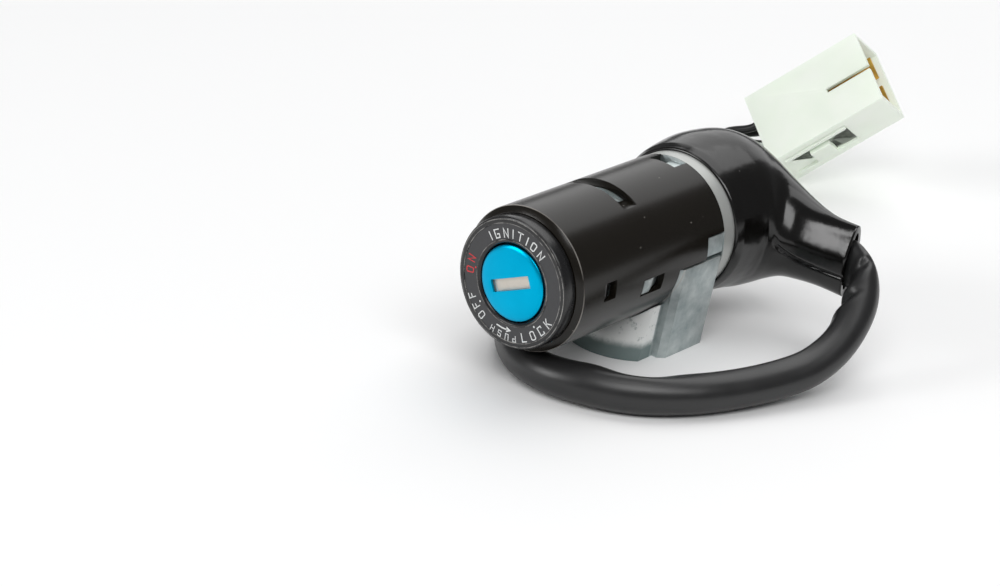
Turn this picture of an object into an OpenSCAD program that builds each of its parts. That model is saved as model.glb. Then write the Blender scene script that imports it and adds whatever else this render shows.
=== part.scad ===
// Motorcycle ignition switch with a steering lock bolt, a cable boot and a short harness.
// Origin: middle of the two foot screws, on the mounting face. X right, Y rearward along the
// lock axis, Z up. Inside at_axis() z runs rearward from the key face and y points down.

/* [Front] */
// outside diameter of the bezel
bezel_d = 28; // [27:0.1:29]
// diameter of the key cap
cap_d = 16.3; // [16:0.1:16.8]
// length of the key slot
slot_len = 10.1; // [9:0.1:10.4]
// width of the key slot
slot_w = 2.6; // [2.2:0.05:2.8]

/* [Cover] */
// outside diameter of the cover
cover_d = 31; // [30.6:0.1:32]
// wall of the cover
cover_wall = 1.7; // [1.5:0.1:1.9]
// key face to the rear edge of the cover
cover_end = 52.3; // [51:0.1:56]

/* [Foot] */
// lock axis above the mounting face
axis_h = 23.5; // [23:0.1:27]
// width of the foot at the mounting face
foot_w = 25.4; // [24:0.1:28]
// distance between the two tapped holes
screw_gap = 17; // [16:0.1:18]
// tapping diameter of the two holes
screw_hole_d = 5; // [4.2:0.1:5.2]
// depth of the two tapped holes
screw_depth = 12; // [8:0.5:13]

/* [Mechanism] */
// diameter of the lock plug
plug_d = 15; // [14.6:0.1:15.2]
// travel of the plug when the key is pushed
push = 3; // [2:0.1:3.2]
// eccentricity of the cam pin
throw = 4.2; // [3.6:0.1:4.4]
// diameter of the steering lock bolt
bolt_d = 8; // [7.4:0.1:8.4]
// number of wafer tumblers
wafer_n = 6; // [4:1:6]

/* [Harness] */
// diameter of the sleeve
sleeve_d = 7.8; // [7:0.1:8]
// diameter of one wire
wire_d = 2; // [1.6:0.1:2.2]
// length of the connector
con_len = 32; // [31:0.5:36]
// width of the connector
con_w = 20; // [19:0.5:23]
// thickness of the connector
con_t = 13.5; // [12.5:0.5:15]

/* [Hidden] */
$fn = 64;

// clock positions of the key slot's index end, clockwise from the top of the label
on_at = 271;
off_at = 229.5;
lock_at = 139.5;
rest_at = 247.5;
slot_turn = rest_at - 270;
turn_all = on_at - lock_at;

// running and seating clearances
run = 0.05;
seat = 0.02;

// radii
bezel_r = bezel_d / 2;
cap_r = cap_d / 2;
cover_r = cover_d / 2;
cover_in = cover_r - cover_wall;
barrel_r = cover_in - 0.15;
plug_r = plug_d / 2;
bore_r = plug_r + run;
flange_r = cover_r - 0.1;
cavity_r = 11.2;
hub_r = 6;
disc_r = 7.6;
pin_r = 1.5;
carrier_r = 7.5;
boss_at = 9.9;
boss_clock = [0, 120, 240];
ball_r = 1;
ball_at = 6.2;
rivet_at = 4.3;

// stations along the axis, from the key face
neck_z = 3.1;
cover_z = 3.3;
barrel_z = 5;
head_z = 0.3;
skirt_z = 3;
wafer_z = 7.2;
wafer_step = 2.4;
ret_z = 25.6;
ret_t = 1.6;
plug_end = ret_z + ret_t + run + 1.35;
web_z = cover_end - 17.7;
cav_z = cover_end - 14.3;
tongue_end = web_z + 2.1;
drive_end = tongue_end + push + 0.1;
disc_end = cav_z + 3;
bolt_z = cav_z + 5.4;
plate_t = 4;
car_z = cav_z + 8.2;
car_end = car_z + 4.1;
base_z = car_end + 0.7;
base_step = base_z + 2;
base_end = base_z + 6;
flange_z = cover_end + 0.2;
flange_end = cover_end + 7.7;
boot_z = cover_end + 3.7;
foot_z = cover_end - 6.8;

// foot
foot_top_w = cover_d - 0.2;
foot_nose_r = 14.5;
foot_nose_z = cover_end - 23.1;
foot_step_z = cover_end - 14.3;
foot_rear_z = cover_end - 0.5;
cut_z = cover_end - 15.1;
cut_y = 1.8;
foot_lean = atan((foot_top_w - foot_w) / 2 / (axis_h - cut_y - 0.5));
foot_edge = 1.3;

// windows of the cover, as clock angle, width, first and last station
snap_w = 4;
snap_z0 = 11.2;
snap_z1 = 15;
lug_at = 100;
lug_w = 3.8;
lug_z0 = 24.5;
lug_z1 = 31.5;

// cam pin and bolt: the bolt follows the pin by a constant lead, within the slot's play
pin_on = -(180 - turn_all) / 2;
pin_rest = pin_on - (on_at - rest_at);
bolt_lead = 2 * throw * cos(pin_on) / turn_all;
slot_at = bolt_lead * (rest_at - lock_at) - throw * cos(pin_on);
slot_half = pin_r + 0.1 * throw + run;
bolt_r = bolt_d / 2;
bolt_tip = axis_h - 1;

// harness: hand-laid points, X Y Z about the foot
sleeve_path = [[24, 27.8, 21], [28, 27, 21.2], [32.5, 26, 21.4], [37.6, 24.9, 20.9], [41.6, 22.6, 18.9],
  [44, 17.2, 14.9], [44.8, 10, 9.9], [43.8, 2.6, 6.5], [41.6, -4.6, 5], [38, -14.6, 4.4],
  [33, -24.4, 4.3], [25.4, -33, 4.4], [16, -38, 4.5], [6.2, -39.4, 4.2], [-3, -36.4, 3.9],
  [-11.5, -28.6, 3.9], [-18, -17, 4], [-24, 0, 4], [-31, 19, 4], [-38, 38, 4],
  [-43.5, 54, 4.1], [-46, 62, 4.2]];
wire_path = [[-52, 79, 3.6], [-52.6, 88, 3.8], [-50.8, 95.5, 5.4]];
con_at = [-38.6, 103.3, 9.5];
con_turn = [44.4, -39.5, 31.2];
pole_y = 4.4;
pole_z = 3;

// boot sections: centre X Y Z, heading, half width, half height, lean of the top outwards
boot_sections = [[0, 0, 0, 0, 16.35, 16.35, 0], [0, 4.5, 0.1, 0, 17.1, 17.1, 0],
  [0.5, 9.5, 0.3, 6, 17.5, 17.6, 0], [2.5, 14.5, 0.2, 20, 16.6, 17.6, 0],
  [6.4, 18.2, -0.2, 35, 14.8, 16, 0], [11.3, 19.6, -0.8, 49.5, 12.1, 13.4, 0],
  [16.4, 19.3, -1.4, 62.5, 9.3, 10.9, 0.1], [22, 18, -1.9, 74, 6.9, 9.3, 0.3],
  [28.6, 16.3, -2, 79, 4.8, 8.3, 0.5], [35.8, 14.9, -1.8, 80, 3.4, 8.3, 0.7]];
boot_wall = 1.6;

// functions for swept and lofted skins
function unit(v) = v / norm(v);
function blend(a, b, c, d, t) = 0.5 * (2 * b + (c - a) * t + (2 * a - 5 * b + 4 * c - d) * t * t
  + (3 * b - a - 3 * c + d) * t * t * t);
function smooth(p, n) = [for (i = [0:len(p) - 2]) for (k = [0:n - 1])
  blend(p[max(i - 1, 0)], p[i], p[i + 1], p[min(i + 2, len(p) - 1)], k / n), p[len(p) - 1]];
function heading(p, i) = unit(p[min(i + 1, len(p) - 1)] - p[max(i - 1, 0)]);
function ring(c, t, up, r, n) = let (u = unit(cross(t, up)), w = cross(t, u))
  [for (k = [0:n - 1]) c + r * (cos(360 * k / n) * u + sin(360 * k / n) * w)];
function halves(a, b, c, d) = [[a, b, c], [a, c, d]];
function skin(m, n, o) = [for (i = [0:m - 2]) for (k = [0:n - 1])
  each halves(o + i * n + k, o + (i + 1) * n + k, o + (i + 1) * n + (k + 1) % n, o + i * n + (k + 1) % n)];
function turned(faces) = [for (f = faces) [f[2], f[1], f[0]]];
function coil_path(r, len, turns, per) = [for (i = [0:turns * per])
  [r * cos(360 * i / per), r * sin(360 * i / per), len * i / (turns * per)]];
function boot_ring(s, inset, n) = [for (k = [0:n - 1]) let (a = 360 * k / n)
  [s[0] + (s[4] - inset) * cos(a) * cos(s[3]) + s[6] * sin(a) * sin(s[3]),
   s[1] - (s[4] - inset) * cos(a) * sin(s[3]) + s[6] * sin(a) * cos(s[3]),
   s[2] + (s[5] - inset) * sin(a)]];

// places children on the lock axis
module at_axis() {
  translate([0, -foot_z, axis_h])
    rotate([-90, 0, 0])
      children();
}

// turns children with the key slot: x along the slot
module at_slot() {
  rotate([0, 0, slot_turn])
    children();
}

// extrudes an outline of radius and station, w wide, at the top of the clock
module radial(w) {
  rotate([90, 0, -90])
    translate([0, 0, -w / 2])
      linear_extrude(height = w)
        children();
}

module disc(r, z0, z1) {
  translate([0, 0, z0])
    cylinder(r = r, h = z1 - z0);
}

module block(x0, x1, y0, y1, z0, z1) {
  translate([x0, y0, z0])
    cube([x1 - x0, y1 - y0, z1 - z0]);
}

// sweeps a round section along points
module sweep(p, r, n, up) {
  m = len(p);
  rings = [for (i = [0:m - 1]) each ring(p[i], heading(p, i), up, r, n)];
  first = [for (k = [0:n - 1]) k];
  last = [for (k = [n - 1:-1:0]) (m - 1) * n + k];
  polyhedron(points = rings, faces = concat([first], skin(m, n, 0), [last]), convexity = 6);
}

module coil(r, wire_r, len, turns, per, n) {
  sweep(coil_path(r, len, turns, per), wire_r, n, [0, 0, 1]);
}

module foot() {
  // rear block, drawn in towards the mounting face
  difference() {
    translate([0, 0, foot_step_z])
      linear_extrude(height = foot_rear_z - foot_step_z)
        polygon([[-foot_top_w / 2, cut_y + 0.5], [foot_top_w / 2, cut_y + 0.5],
          [foot_w / 2, axis_h], [-foot_w / 2, axis_h]]);
    // chamfers up its front edges, which lean in with its sides
    for (s = [-1, 1])
      translate([s * (foot_top_w + foot_w) / 4, (cut_y + axis_h) / 2, foot_step_z])
        rotate([0, 0, s * foot_lean])
          rotate([0, 45, 0])
            cube([foot_edge * sqrt(2), 2 * axis_h, foot_edge * sqrt(2)], center = true);
  }
  // rounded nose under the cover
  difference() {
    intersection() {
      translate([0, 0, foot_nose_z])
        linear_extrude(height = foot_step_z + 1 - foot_nose_z)
          polygon([[1.1 - foot_w / 2, 11], [foot_w / 2 - 1.1, 11],
            [foot_w / 2 - 2.7, axis_h], [2.7 - foot_w / 2, axis_h]]);
      translate([0, 10, foot_nose_z + foot_nose_r])
        rotate([-90, 0, 0])
          cylinder(r = foot_nose_r, h = axis_h - 10);
    }
    disc(cover_r + 0.25, foot_nose_z - 1, cut_z + 0.3);
  }
}

module lock_housing() {
  color("#9aa3a8")
    at_axis()
      difference() {
        union() {
          disc(barrel_r, barrel_z, flange_z);
          disc(flange_r, flange_z, flange_end);
          foot();
          // lugs that hold the cover
          for (a = [lug_at, -lug_at])
            rotate([0, 0, a])
              radial(lug_w - 0.6)
                polygon([[13, lug_z0 + 0.6], [cover_r - 0.3, lug_z0 + 0.6], [cover_r - 0.3, lug_z0 + 3],
                  [cover_in, lug_z1 - 0.6], [13, lug_z1 - 0.6]]);
          // keys in the cover's rear notches
          translate([1.3, 0, 0])
            radial(3.4)
              polygon([[12.5, cover_end - 2.8], [cover_r - 1.1, cover_end - 2.8],
                [cover_r - 1.1, flange_z + 0.1], [12.5, flange_z + 0.1]]);
          for (a = [87.5, -87.5])
            rotate([0, 0, a])
              radial(4.2)
                polygon([[12.5, cover_end - 5.2], [cover_r - 0.5, cover_end - 5.2],
                  [cover_r - 0.5, flange_z + 0.1], [12.5, flange_z + 0.1]]);
        }
        // plug bore, cap recess and broached wafer grooves
        disc(bore_r, barrel_z - 1, web_z);
        disc(cap_r + 0.35, barrel_z - 1, skirt_z + push + 0.3);
        rotate([0, 0, off_at - rest_at + slot_turn])
          block(-plug_r - 1.2, plug_r + 1.2, -3.6, 3.6, barrel_z - 1, ret_z - 4.2);
        // cam bearing, rear cavity and seat of the contact base
        disc(hub_r + run, web_z - 1, cav_z + 1);
        difference() {
          disc(cavity_r, cav_z, base_step);
          for (a = boss_clock)
            rotate([0, 0, a])
              translate([0, -boss_at, car_z - 0.2])
                cylinder(r = 2, h = base_z - car_z + 0.2);
        }
        disc(cavity_r, base_z, base_step + 1);
        disc(base_flange_r() + run, base_step, flange_end + 1);
        for (a = boss_clock)
          rotate([0, 0, a])
            translate([0, -boss_at, car_z + 0.3])
              cylinder(r = 1 + seat, h = 10);
        // pocket beside the top key
        block(-3.2, -0.4, -cover_r, -cavity_r - 1, cover_end - 4.2, cover_end - 0.3);
        // slot of the retaining plate
        block(-9 - run, 9 + run, -barrel_r - 1, 3 + run, ret_z - run, ret_z + ret_t + run);
        block(-10, 10, -barrel_r - 1, -slot_floor(), ret_z - 1.3, ret_z + 3.1);
        // channels of the bezel's snap arms
        for (a = [90, -90])
          rotate([0, 0, a])
            block(-snap_w / 2 - 0.2, snap_w / 2 + 0.2, -barrel_r - 1, -11.9, barrel_z - 1, snap_z1 + 0.6);
        // lock bolt bore and tapped holes of the foot
        translate([0, 5, bolt_z])
          rotate([-90, 0, 0])
            cylinder(r = bolt_r + run, h = axis_h);
        for (x = [-screw_gap / 2, screw_gap / 2])
          translate([x, axis_h - screw_depth, foot_z])
            rotate([-90, 0, 0])
              cylinder(d = screw_hole_d, h = screw_depth + 1);
      }
}

function base_flange_r() = flange_r - 2.4;
function slot_floor() = cover_r - 2.65;

module cover() {
  color("#1b1b1c")
    at_axis()
      difference() {
        rotate_extrude()
          polygon([[cover_in, cover_z], [bezel_r + 0.2, cover_z], [cover_r, cover_z + 1],
            [cover_r, cover_end], [cover_in, cover_end]]);
        // snap windows
        for (a = [90, -90])
          rotate([0, 0, a])
            block(-snap_w / 2, snap_w / 2, -cover_r - 1, -cover_in + 1.5, snap_z0, snap_z1);
        for (a = [lug_at, -lug_at])
          rotate([0, 0, a])
            block(-lug_w / 2, lug_w / 2, -cover_r - 1, -cover_in + 1.5, lug_z0, lug_z1);
        // cross slot on top
        block(-12, 12, -cover_r - 1, -slot_floor(), ret_z - 1.3, ret_z + 3.1);
        // rear notches and the way round the foot
        block(-3.4, 3.4, -cover_r - 1, -10, cover_end - 4.3, cover_end + 1);
        for (s = [-1, 1])
          translate([s * cover_r, 0, 0])
            block(-5, 5, -3.2, cut_y + 0.1, cover_end - 5.8, cover_end + 1);
        block(-cover_r - 1, cover_r + 1, cut_y, cover_r + 1, cut_z, cover_end + 1);
      }
}

module bezel() {
  color("#161617")
    at_axis() {
      rotate_extrude()
        polygon([[cap_r + 0.3, 0.4], [cap_r + 0.7, 0.05], [cap_r + 0.82, 0], [cap_r + 1.1, 0],
          [cap_r + 1.1, 0.5], [bezel_r - 1.4, 0.5], [bezel_r - 1.4, 0], [bezel_r - 0.55, 0],
          [bezel_r - 0.2, 0.14], [bezel_r, 0.5], [bezel_r, neck_z], [bezel_r - 0.6, neck_z],
          [bezel_r - 0.6, cover_z], [cover_in - 0.1, cover_z], [cover_in - 0.1, barrel_z - seat],
          [cap_r + 0.3, barrel_z - seat]]);
      for (a = [90, -90])
        rotate([0, 0, a])
          radial(snap_w - 0.4)
            polygon([[12.2, barrel_z - 0.5], [cover_in - 0.2, barrel_z - 0.5],
              [cover_in - 0.2, snap_z0 + 0.3], [cover_r - 0.5, snap_z0 + 0.3],
              [cover_r - 0.5, snap_z0 + 0.9], [cover_in - 0.2, snap_z1 - 0.2], [12.2, snap_z1 - 0.2]]);
    }
}

module label_ring() {
  color("#232325")
    at_axis()
      difference() {
        disc(bezel_r - 1.4 - run, 0.12, 0.5 - seat);
        disc(cap_r + 1.1 + run, -1, 1);
      }
}

module key_cap() {
  color("#0b93c9")
    at_axis()
      difference() {
        rotate_extrude()
          polygon([[0, -0.55], [2, -0.53], [4, -0.44], [6, -0.28], [cap_r - 1, -0.12], [cap_r - 0.4, 0.02],
            [cap_r - 0.1, 0.22], [cap_r, 0.5], [cap_r, skirt_z], [plug_r - 0.15, skirt_z],
            [plug_r - 0.15, head_z - seat], [0, head_z - seat]]);
        at_slot()
          block(-slot_len / 2, slot_len / 2, -slot_w / 2, slot_w / 2, -1, 2);
      }
}

// hinge of the shutter, beside the key slot
hinge_y = slot_w / 2 + 1.4;
hinge_z = head_z + 0.75;
leaf_end = slot_w / 2 + 0.35;

module shutter() {
  color("#d8cfbf")
    at_axis()
      at_slot()
        difference() {
          union() {
            block(-slot_len / 2 - 0.25, slot_len / 2 + 0.25, -leaf_end, hinge_y - 0.3,
              hinge_z - 0.6, hinge_z - 0.1);
            translate([-slot_len / 2 - 0.25, hinge_y, hinge_z])
              rotate([0, 90, 0])
                cylinder(r = 0.6, h = slot_len - 1.6);
          }
          translate([-slot_len, hinge_y, hinge_z])
            rotate([0, 90, 0])
              cylinder(r = 0.35 + run, h = 2 * slot_len);
          block(slot_len / 2 - 1.35, slot_len, hinge_y - 0.95, hinge_y + 1, 0, 4);
        }
}

module shutter_pin() {
  color("#c4c6c8")
    at_axis()
      at_slot()
        translate([-slot_len / 2 - 1, hinge_y, hinge_z])
          rotate([0, 90, 0])
            cylinder(r = 0.35, h = slot_len + 2);
}

module shutter_spring() {
  color("#b9bcc0")
    at_axis()
      at_slot()
        translate([slot_len / 2 - 1.1, hinge_y, hinge_z])
          rotate([0, 90, 0])
            coil(0.52, 0.12, 1.2, 4, 12, 5);
}

module plug() {
  color("#c9a24a")
    at_axis()
      at_slot()
        difference() {
          union() {
            disc(plug_r - 0.2, head_z, skirt_z + 0.05);
            disc(plug_r, skirt_z + 0.05, plug_end);
            block(-4.5, 4.5, -1.2, 1.2, plug_end - 1, tongue_end);
          }
          // room of the shutter, then the keyway
          block(-slot_len / 2 - 0.4, slot_len / 2 + 0.4, -leaf_end - 0.25, hinge_y + 0.75,
            0, hinge_z + hinge_y + leaf_end + 0.3);
          block(-slot_len / 2 - 0.1, slot_len / 2 + 0.1, -slot_w / 2 - 0.03, slot_w / 2 + 0.03,
            0, ret_z - 4.5);
          translate([-slot_len / 2 - 1 - seat, hinge_y, hinge_z])
            rotate([0, 90, 0])
              cylinder(r = 0.35 + seat, h = slot_len + 2 + 2 * seat);
          // wafer slots, each with a pocket for its spring
          for (i = [0:wafer_n - 1]) {
            z = wafer_z + i * wafer_step;
            block(-plug_r - 1, plug_r + 1, -3.5, 3.5, z - 0.65, z + 0.65);
            block(-2.5, 2.2, 3, 5.1, z - 0.65, z + 0.65);
          }
          // groove of the retaining plate
          difference() {
            disc(plug_r + 1, ret_z - push - 0.1, ret_z + ret_t + run);
            disc(plug_r - 1.1, ret_z - push - 0.1, ret_z + ret_t + run);
          }
        }
}

module wafers() {
  color("#d2b25c")
    at_axis()
      at_slot()
        for (i = [0:wafer_n - 1]) {
          z = wafer_z + i * wafer_step;
          difference() {
            intersection() {
              union() {
                block(-plug_r, plug_r, -3.45, 3.45, z - 0.6, z + 0.6);
                block(1.1, 2.1, 3, 5, z - 0.6, z + 0.6);
              }
              disc(plug_r - 0.1, z - 1, z + 1);
            }
            block(-slot_len / 2 - 0.1, slot_len / 2 + 0.1, -slot_w / 2 - 0.1, slot_w / 2 + 0.1,
              z - 1, z + 1);
          }
        }
}

module wafer_springs() {
  color("#b9bcc0")
    at_axis()
      at_slot()
        for (i = [0:wafer_n - 1])
          translate([-2.35, 4.3, wafer_z + i * wafer_step])
            rotate([0, 90, 0])
              coil(0.42, 0.11, 3.3, 4, 8, 5);
}

module retaining_plate() {
  color("#c8ccce")
    at_axis()
      translate([0, 0, ret_z])
        linear_extrude(height = ret_t)
          difference() {
            intersection() {
              translate([-9, -slot_floor() + 0.1])
                square([18, slot_floor() + 2.9]);
              circle(r = barrel_r - 0.1);
            }
            circle(r = plug_r - 1);
            translate([1 - plug_r, 0])
              square([2 * plug_r - 2, 4]);
          }
}

module push_spring() {
  color("#b9bcc0")
    at_axis()
      translate([0, 0, plug_end + 0.45])
        coil(5.9, 0.4, web_z - plug_end - 0.9, 4, 16, 8);
}

module cam() {
  color("#aab0b4")
    at_axis() {
      difference() {
        union() {
          disc(hub_r, web_z + 0.3, cav_z + 0.2);
          disc(disc_r, cav_z + 0.1, disc_end);
        }
        at_slot()
          block(-4.6, 4.6, -1.3, 1.3, web_z, drive_end);
      }
      rotate([0, 0, pin_rest])
        translate([0, -throw, disc_end - 0.5])
          cylinder(r = pin_r, h = car_z + 2.8 - disc_end + 0.5);
    }
}

module lock_bolt() {
  color("#b4b8bb")
    at_axis()
      translate([0, -slot_at, bolt_z])
        difference() {
          union() {
            // yoke round the cam pin
            block(-throw - 3.4, bolt_r, -slot_half - 2, slot_half + 2, -plate_t / 2, plate_t / 2);
            block(0.6 - bolt_r, bolt_r - 0.6, slot_half, slot_at + 10, -plate_t / 2, plate_t / 2);
            // round bolt with a chamfered tip
            translate([0, slot_at + disc_r + 2, 0])
              rotate([-90, 0, 0])
                cylinder(r = bolt_r, h = bolt_tip - disc_r - 2.8);
            translate([0, slot_at + bolt_tip - 0.8, 0])
              rotate([-90, 0, 0])
                cylinder(r1 = bolt_r, r2 = bolt_r - 0.8, h = 0.8);
          }
          block(-throw - pin_r - 0.3, throw * sin(pin_on) + pin_r + 0.3, -slot_half, slot_half, -5, 5);
        }
}

module contact_carrier() {
  color("#e6e2d6")
    at_axis()
      difference() {
        union() {
          disc(carrier_r, car_z, car_end);
          disc(2.2, car_end - 1, base_z + 3.6);
        }
        rotate([0, 0, pin_rest])
          translate([0, -throw, car_z - 1])
            cylinder(r = pin_r + run, h = 4);
        // seat of the moving contact and its springs
        difference() {
          disc(5.25, car_end - 0.9, car_end + 1);
          disc(3.1, car_end - 2, car_end + 2);
        }
        for (a = [87, 177])
          rotate([0, 0, a])
            translate([0, -4.2, car_z + 1.4])
              cylinder(r = 0.9, h = 4);
        for (a = [60, 240])
          rotate([0, 0, a])
            translate([0, -ball_at, car_z + 0.8])
              cylinder(r = ball_r + run, h = 5);
      }
}

module contact_bridge() {
  color("#c98f3c")
    at_axis()
      rotate([0, 0, 132])
        intersection() {
          difference() {
            disc(5.15, car_end - 0.25, car_end + 0.25);
            disc(3.2, car_end - 1, car_end + 1);
          }
          translate([0, 0, car_end - 1])
            linear_extrude(height = 2)
              polygon([[0, 0], [-9, 2.4], [-9, -9], [9, -9], [9, 2.4]]);
        }
}

module contact_springs() {
  color("#b9bcc0")
    at_axis()
      for (a = [87, 177])
        rotate([0, 0, a])
          translate([0, -4.2, car_z + 1.55])
            coil(0.65, 0.14, car_end - 0.25 - car_z - 1.7, 4, 10, 5);
}

module detent_balls() {
  color("#d0d3d6")
    at_axis()
      for (a = [60, 240])
        rotate([0, 0, a])
          translate([0, -ball_at, base_z - ball_r - run])
            sphere(r = ball_r);
}

module detent_springs() {
  color("#b9bcc0")
    at_axis()
      for (a = [60, 240])
        rotate([0, 0, a])
          translate([0, -ball_at, car_z + 0.95])
            coil(0.7, 0.14, base_z - 2 * ball_r - run - car_z - 1.05, 3, 10, 5);
}

module contact_base() {
  color("#2a2420")
    at_axis()
      difference() {
        union() {
          disc(cavity_r - 0.1, base_z, base_step + 0.5);
          disc(base_flange_r(), base_step + seat, base_end);
        }
        disc(2.2 + run, base_z - 1, base_z + 4);
        // click notches at the three key positions
        for (a = [60, 240])
          for (q = [lock_at, off_at, on_at])
            rotate([0, 0, a + q - rest_at])
              translate([0, -ball_at, base_z - 0.55])
                sphere(r = ball_r + run);
        for (a = [0, 90, 180, 270])
          rotate([0, 0, a])
            translate([0, -rivet_at, base_z - 1])
              cylinder(r = 0.6 + seat, h = 9);
        for (a = boss_clock)
          rotate([0, 0, a])
            translate([0, -boss_at, base_z - 1])
              cylinder(r = 1.1, h = 9);
      }
}

module fixed_contacts() {
  color("#c9a24a")
    at_axis()
      for (a = [0, 90, 180, 270])
        rotate([0, 0, a])
          translate([0, -rivet_at, 0]) {
            disc(0.8, base_z - 0.35, base_z - seat);
            disc(0.6, base_z - 0.2, base_end + 0.3);
            disc(1.1, base_end + seat, base_end + 0.6);
            block(-1.1, 1.1, -0.3, 0.3, base_end + 0.5, base_end + 3);
          }
}

module base_screws() {
  color("#c4c6c8")
    at_axis()
      for (a = boss_clock)
        rotate([0, 0, a])
          translate([0, -boss_at, 0])
            difference() {
              union() {
                disc(1, car_z + 0.6, base_end + 0.5);
                disc(1.9, base_end + seat, base_end + 1.4);
              }
              for (t = [0, 90])
                rotate([0, 0, t])
                  block(-1.1, 1.1, -0.22, 0.22, base_end + 0.7, base_end + 2);
            }
}

module boot() {
  n = 32;
  shape = smooth(boot_sections, 3);
  m = len(shape);
  fit = cover_r / 15.5;
  outer = [for (s = shape) each boot_ring(s, 0, n)];
  inner = [for (i = [0:m - 1]) each boot_ring(shape[i], boot_inset(i / (m - 1)), n)];
  front = [for (k = [0:n - 1]) [k, (k + 1) % n, m * n + (k + 1) % n, m * n + k]];
  last = (m - 1) * n;
  mouth = [for (k = [0:n - 1])
    [last + (k + 1) % n, last + k, m * n + last + k, m * n + last + (k + 1) % n]];
  color("#141415")
    translate([0, boot_z - foot_z, axis_h])
      scale(fit)
        polyhedron(points = concat(outer, inner),
          faces = concat(skin(m, n, 0), turned(skin(m, n, m * n)), front, mouth), convexity = 8);
}

// the wall thins over the flange and closes on the sleeve at the mouth
function boot_inset(t) = t < 0.12 ? 0.8 + 3.6 * t : boot_wall + 0.1 * max(0, t - 0.8) / 0.2;

module leads() {
  color("#191919")
    for (i = [0:3]) {
      a = 90 * i;
      x = rivet_at * sin(a);
      z = axis_h + rivet_at * cos(a);
      y = base_end + 3 - foot_z;
      e = sleeve_path[0];
      dz = [3.3, 1.1, -3.3, -1.1][i];
      dy = [0, -1.5, 0, 1.5][i];
      way = [[x, y - 0.5, z], [x, y + 1.5, z], [x + 2, y + 4.5, z],
        [x / 2 + 7, y + 9 + dy, 0.5 * (z + e[2] + 1.2)],
        [e[0] - 6, e[1] + 0.6 + dy / 3, e[2] + 0.5 + dz], [e[0] + 0.3, e[1], e[2] + dz]];
      sweep(smooth(way, 3), wire_d / 2 - 0.1, 8, [0.1, 0, 1]);
    }
}

// the sleeve leaves the boot pressed flat, is round after the first bend and swells at the front
function sleeve_flat(t) = t > 0.26 ? 0 : t < 0.1 ? 1 : 0.5 + 0.5 * cos(180 * (t - 0.1) / 0.16);
function sleeve_swell(t) = 1 + 0.12 * exp(-pow((t - 0.54) / 0.07, 2));
function sleeve_ring(c, t, f, r, n) = let (u = unit(cross(t, [0, 0, 1])), w = cross(t, u))
  [for (k = [0:n - 1]) c + r * ((1 - 0.516 * f) * cos(360 * k / n) * u
    + (1 + 0.44 * f) * sin(360 * k / n) * w)];

module sleeve() {
  n = 12;
  p = smooth(sleeve_path, 3);
  m = len(p);
  rings = [for (i = [0:m - 1]) let (t = i / (m - 1))
    each sleeve_ring(p[i], heading(p, i), sleeve_flat(t), sleeve_d / 2 * sleeve_swell(t), n)];
  first = [for (k = [0:n - 1]) k];
  last = [for (k = [n - 1:-1:0]) (m - 1) * n + k];
  color("#1d1d1e")
    polyhedron(points = rings, faces = concat([first], skin(m, n, 0), [last]), convexity = 6);
}

// places children on the connector: x towards its mouth
module at_connector() {
  translate(con_at)
    rotate(con_turn)
      children();
}

function con_dir() = [cos(con_turn[1]) * cos(con_turn[2]), cos(con_turn[1]) * sin(con_turn[2]),
  -sin(con_turn[1])];
function con_side() = [-sin(con_turn[2]), cos(con_turn[2]), 0];
function con_up() = cross(con_dir(), con_side());
function con_point(x, y, z) = con_at + x * con_dir()
  + y * (cos(con_turn[0]) * con_side() + sin(con_turn[0]) * con_up())
  + z * (cos(con_turn[0]) * con_up() - sin(con_turn[0]) * con_side());

function level_side(p, i) = unit(cross(heading(p, i), [0, 0, 1]));

module wires() {
  last = len(sleeve_path) - 1;
  e = sleeve_path[last];
  t = heading(sleeve_path, last);
  mid = concat([e - 0.4 * t, e + 8 * t], wire_path);
  color("#191919")
    for (i = [-1, 1])
      for (j = [-1, 1]) {
        way = concat([for (k = [0:len(mid) - 1]) mid[k] - 1.25 * i * level_side(mid, k) + [0, 0, 1.25 * j]],
          [con_point(-8, 5 + 1.25 * i, 2 + 1.2 * j), con_point(-2, 1.5 + 2.6 * i, 0.6 + 1.7 * j),
          con_point(4.2, i * pole_y, j * pole_z), con_point(7.2, i * pole_y, j * pole_z)]);
        sweep(smooth(way, 3), wire_d / 2, 8, [0, 0, 1]);
      }
}

module connector() {
  color("#dfe8dc")
    at_connector()
      difference() {
        union() {
          block(0, con_len, -con_w / 2, con_w / 2, -con_t / 2, con_t / 2);
          // latch nib and its ribs on the near side
          block(9, 14.5, -con_w / 2 - 1.3, 0, -2.4, 2.4);
          block(3, 20, -con_w / 2 - 0.6, 0, 3.4, 4.4);
          block(3, 20, -con_w / 2 - 0.6, 0, -4.4, -3.4);
        }
        // open mouth, hollow back, terminal chambers and wire entries
        block(14.5, con_len + 1, 1.2 - con_w / 2, con_w / 2 - 1.2, 1.2 - con_t / 2, con_t / 2 - 1.2);
        block(-1, 3.6, 1.5 - con_w / 2, con_w / 2 - 1.5, 1.5 - con_t / 2, con_t / 2 - 1.5);
        // keying slot over the blades
        block(con_len - 12, con_len + 1, -0.9, 0.2, con_t / 2 - 2, con_t / 2 + 1);
        for (y = [-pole_y, pole_y])
          for (z = [-pole_z, pole_z]) {
            block(6, 15, y - 3.3, y + 3.3, z - 1.5, z + 1.5);
            translate([2, y, z])
              rotate([0, 90, 0])
                cylinder(r = wire_d / 2 + 0.3, h = 6);
          }
      }
}

module terminals() {
  color("#c9a24a")
    at_connector()
      for (y = [-pole_y, pole_y])
        for (z = [-pole_z, pole_z]) {
          block(7.1, 12, y - 3.15, y + 3.15, z - 1.4, z + 1.4);
          block(11, con_len - 1, y - 3.15, y + 3.15, z - 0.4, z + 0.4);
        }
}

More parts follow.
